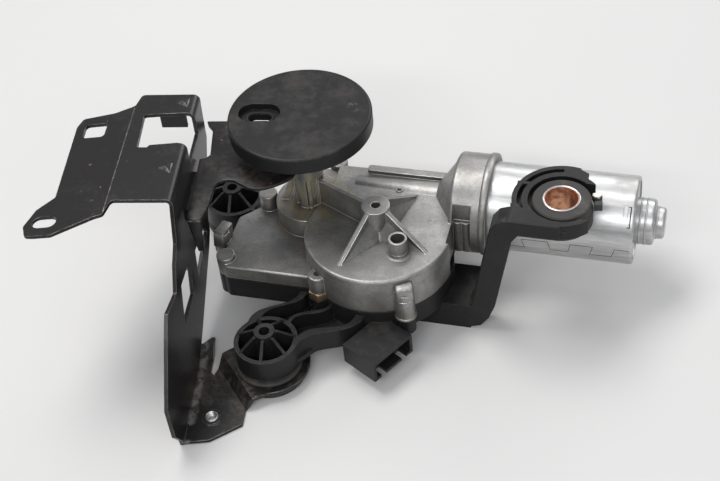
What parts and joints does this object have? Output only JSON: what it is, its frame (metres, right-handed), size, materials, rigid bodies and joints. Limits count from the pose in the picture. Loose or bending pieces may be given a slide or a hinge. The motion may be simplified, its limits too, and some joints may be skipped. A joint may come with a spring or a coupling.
{
  "type": "wiper gear motor",
  "caption": "Geared wiper motor with worm drive, swinging drive disc on a ribbed tower, moulded carrier on rubber dampers and a folded sheet-steel bracket.",
  "frame": {"origin": "where the output-shaft axis meets the parting plane between the die-cast gear housing and the moulded carrier", "axes": "+X along the armature towards the motor's end cap, +Z along the output shaft towards the drive disc"},
  "size_m": [0.31, 0.1995, 0.1103],
  "materials": {
    "cast_aluminium": "satin die cast",
    "galvanised_steel": "galvanised",
    "ferrite": "matte",
    "bearing_bronze": "satin",
    "bearing_plastic": "matte",
    "dark_plastic": "matte",
    "carbon": "matte",
    "bright_steel": "bright",
    "black_plastic": "satin",
    "seal_rubber": "matte",
    "board_green": "satin",
    "tin_plated": "bright",
    "copper": "satin",
    "damper_rubber": "matte",
    "coated_steel": "satin, dusty",
    "lamination_steel": "satin",
    "enamelled_wire": "gloss",
    "gear_plastic": "satin"
  },
  "bodies": {
    "base": {"gear_housing": "cast_aluminium", "motor_yoke": "galvanised_steel", "motor_end_cap": "galvanised_steel", "field_magnets": "ferrite", "front_bearing": "bearing_bronze", "rear_bearing": "bearing_bronze", "thrust_pad": "bearing_plastic", "brush_holder": "dark_plastic", "carbon_brushes": "carbon", "wheel_axle": "bright_steel", "output_bushes": "bearing_bronze", "shaft_washer": "bright_steel", "gear_cover": "black_plastic", "housing_seal": "seal_rubber", "circuit_board": "board_green", "terminal_pins": "tin_plated", "housing_screws": "bright_steel", "ring_sleeve": "copper", "ring_damper": "damper_rubber", "front_damper": "damper_rubber", "rear_damper": "damper_rubber", "damper_sleeves": "bright_steel", "damper_studs": "bright_steel", "main_bracket": "coated_steel", "upper_bracket": "coated_steel"},
    "armature": {"armature_shaft": "bright_steel", "armature_core": "lamination_steel", "armature_windings": "enamelled_wire", "commutator": "copper"},
    "wheel": {"worm_wheel": "gear_plastic", "drive_pinion": "bright_steel"},
    "output": {"output_sector": "bright_steel", "output_shaft": "bright_steel", "shaft_clip": "bright_steel", "drive_disc": "black_plastic"}
  },
  "joints": [
    {"name": "armature_spin", "type": "hinge", "parent": "base", "child": "armature", "pos_m": [0.1, 0.016, 0.0148], "axis": [1, 0, 0], "range_deg": [-7425, 7425]},
    {"name": "wheel_turn", "type": "hinge", "parent": "base", "child": "wheel", "pos_m": [0.0436, -0.0212, 0.0148], "axis": [0, 0, 1], "range_deg": [-123.75, 123.75]},
    {"name": "output_swing", "type": "hinge", "parent": "base", "child": "output", "pos_m": [0, 0, 0.04], "axis": [0, 0, 1], "range_deg": [-55, 55]}
  ],
  "couplings": [
    {"joint": "wheel_turn", "follows": "armature_spin", "ratio": 0.016667},
    {"joint": "output_swing", "follows": "armature_spin", "ratio": -0.0074074}
  ]
}
